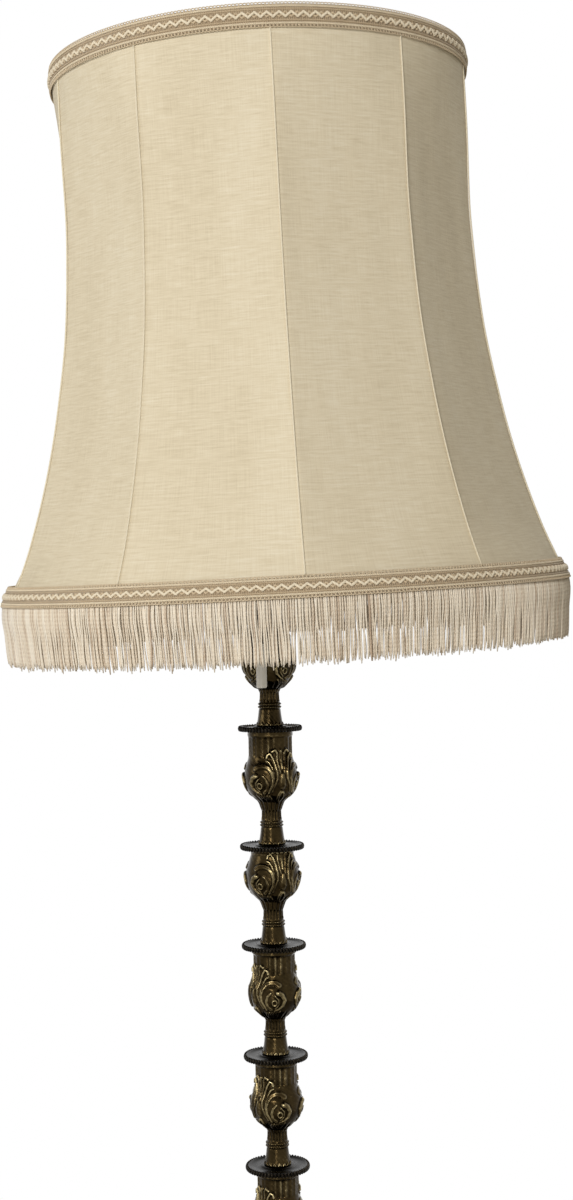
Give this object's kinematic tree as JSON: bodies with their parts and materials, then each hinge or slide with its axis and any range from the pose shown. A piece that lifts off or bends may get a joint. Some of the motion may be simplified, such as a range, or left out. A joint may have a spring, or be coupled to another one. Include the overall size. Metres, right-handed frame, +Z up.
{
  "type": "candlestick floor lamp",
  "caption": "Floor lamp with a stem of stacked turned balusters and drip pans, a fringed bell shade with fabric panels, and a pull switch.",
  "frame": {"origin": "on the floor under the stem, at the middle of the felt", "axes": "+Z up the stem, -Y towards the front, where the pull cord hangs, +X to the right seen from the front"},
  "size_m": [0.501, 0.5008, 1.646],
  "materials": {
    "antique_brass": "cast brass with dark patina, rubbed bright on the high relief",
    "dark_brass": "almost black patinated brass with a soft sheen",
    "bright_brass": "lacquered brass",
    "steel": "zinc plated",
    "nickel": "nickel plated",
    "iron": "as cast, painted black",
    "felt": "dark green baize",
    "black_plastic": "moulded",
    "white_plastic": "smooth moulded",
    "porcelain": "glazed",
    "frosted_glass": "frosted",
    "cord_cotton": "braided cotton",
    "coated_wire": "white coated wire",
    "cream_silk": "slubby cream silk or linen weave",
    "lining_cloth": "plain pale lining",
    "piping_cord": "thin covered cord",
    "gimp_braid": "woven gimp braid with looped edges",
    "fringe_thread": "straight hanging threads"
  },
  "bodies": {
    "root": {"drip_pan_01": "dark_brass", "drip_pan_02": "dark_brass", "drip_pan_03": "dark_brass", "drip_pan_04": "dark_brass", "drip_pan_05": "dark_brass", "drip_pan_06": "dark_brass", "drip_pan_07": "dark_brass", "drip_pan_08": "dark_brass", "drip_pan_09": "dark_brass", "drip_pan_10": "dark_brass", "drip_pan_11": "dark_brass", "drip_pan_12": "dark_brass", "baluster_01": "antique_brass", "baluster_02": "antique_brass", "baluster_03": "antique_brass", "baluster_04": "antique_brass", "baluster_05": "antique_brass", "baluster_06": "antique_brass", "baluster_07": "antique_brass", "baluster_08": "antique_brass", "baluster_09": "antique_brass", "baluster_10": "antique_brass", "baluster_11": "antique_brass", "base_foot": "antique_brass", "base_felt": "felt", "base_weight": "iron", "tube_washer": "steel", "tube_nut": "steel", "cord_grommet": "black_plastic", "stem_tube": "steel", "harp_saddle": "bright_brass", "harp_ferrules": "bright_brass", "harp_wire": "bright_brass", "harp_seat": "bright_brass", "holder_cap": "bright_brass", "holder_shell": "bright_brass", "holder_insulator": "porcelain", "holder_thread": "nickel", "holder_contact": "nickel", "switch_housing": "bright_brass", "switch_bush": "bright_brass", "pull_spring": "steel"},
    "stud": {"harp_stud": "bright_brass"},
    "shade": {"shade_top_ring": "coated_wire", "shade_bottom_ring": "coated_wire", "shade_ribs": "coated_wire", "shade_spider": "coated_wire", "shade_cover": "cream_silk", "shade_lining": "lining_cloth", "seam_piping": "piping_cord", "top_braid": "gimp_braid", "bottom_braid": "gimp_braid", "fringe": "fringe_thread"},
    "finial": {"finial": "bright_brass"},
    "bulb": {"bulb_cap": "nickel", "bulb_glass": "frosted_glass"},
    "pull": {"pull_rod": "steel", "pull_cord": "cord_cotton", "pull_handle": "white_plastic"}
  },
  "joints": [
    {"name": "shade_swivel", "type": "hinge", "parent": "root", "child": "stud", "pos_m": [0, 0, 1.60855], "axis": [0, 0, 1], "continuous": true},
    {"name": "shade_tilt", "type": "hinge", "parent": "stud", "child": "shade", "pos_m": [0, 0, 1.60855], "axis": [-0.7071, 0.7071, 0], "range_deg": [-0.5, 6.3]},
    {"name": "finial_turn", "type": "hinge", "parent": "stud", "child": "finial", "pos_m": [0, 0, 1.62855], "axis": [0, 0, 1], "continuous": true},
    {"name": "bulb_turn", "type": "hinge", "parent": "root", "child": "bulb", "pos_m": [0, 0, 1.305], "axis": [0, 0, 1], "continuous": true},
    {"name": "pull_switch", "type": "slide", "parent": "root", "child": "pull", "axis": [0, 0, -1], "range_m": [0, 0.009], "stiffness_N_per_m": 400, "springref_m": -0.01, "deforming": ["pull_spring"]}
  ]
}
